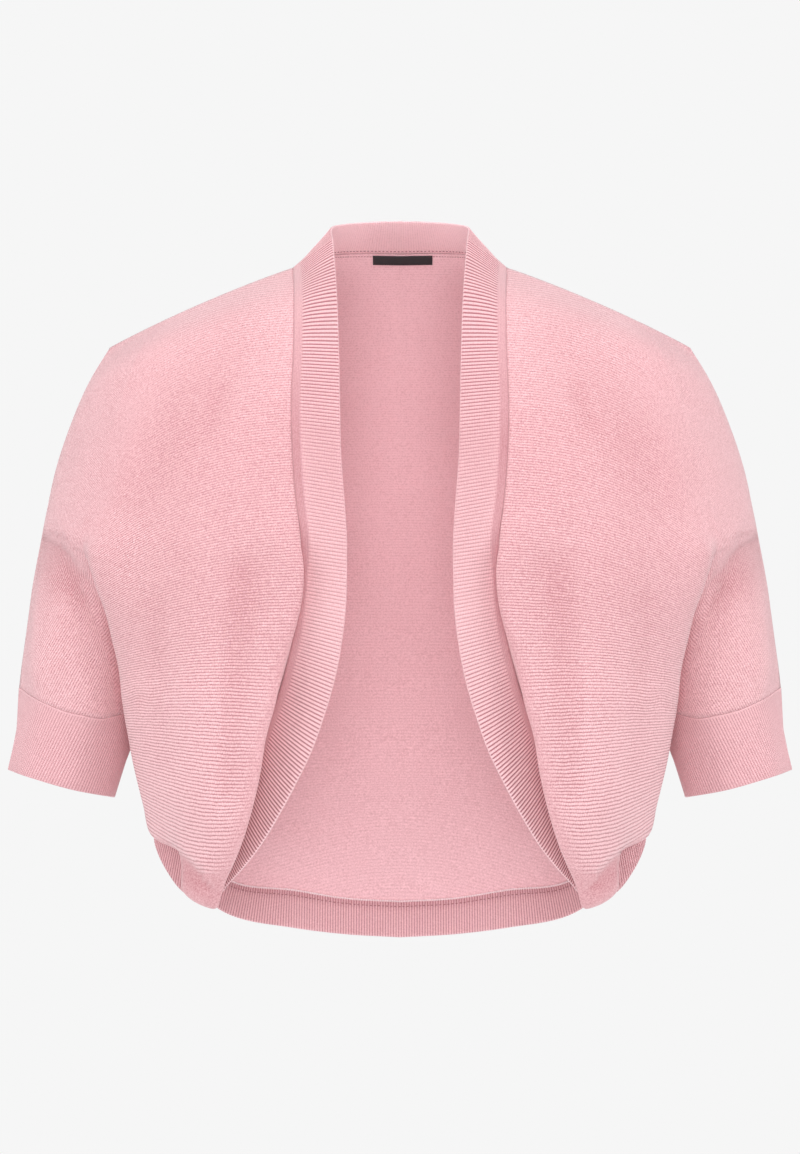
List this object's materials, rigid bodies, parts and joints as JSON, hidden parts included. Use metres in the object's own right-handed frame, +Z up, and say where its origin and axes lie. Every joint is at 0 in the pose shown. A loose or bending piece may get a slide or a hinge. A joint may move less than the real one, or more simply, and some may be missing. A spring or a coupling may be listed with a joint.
{
  "type": "knitted shrug",
  "caption": "Open cocoon shrug in fine knit with short dolman sleeves, ribbed cuffs and one ribbed band round neck, front edges and hem, in its worn form.",
  "frame": {"origin": "midway between the high points of the two shoulders, where the worn shrug is held", "axes": "+X towards the wearer's left, -Y towards the front, +Z up"},
  "size_m": [0.5832, 0.2328, 0.5402],
  "materials": {
    "knit_body": "fine matte knit",
    "knit_rib": "matte rib knit",
    "label_satin": "woven satin"
  },
  "bodies": {
    "root": {"front_left": "knit_body", "front_right": "knit_body", "back": "knit_body", "cuff_left": "knit_rib", "cuff_right": "knit_rib", "band_neck": "knit_rib", "band_hem": "knit_rib", "label": "label_satin"}
  },
  "joints": []
}
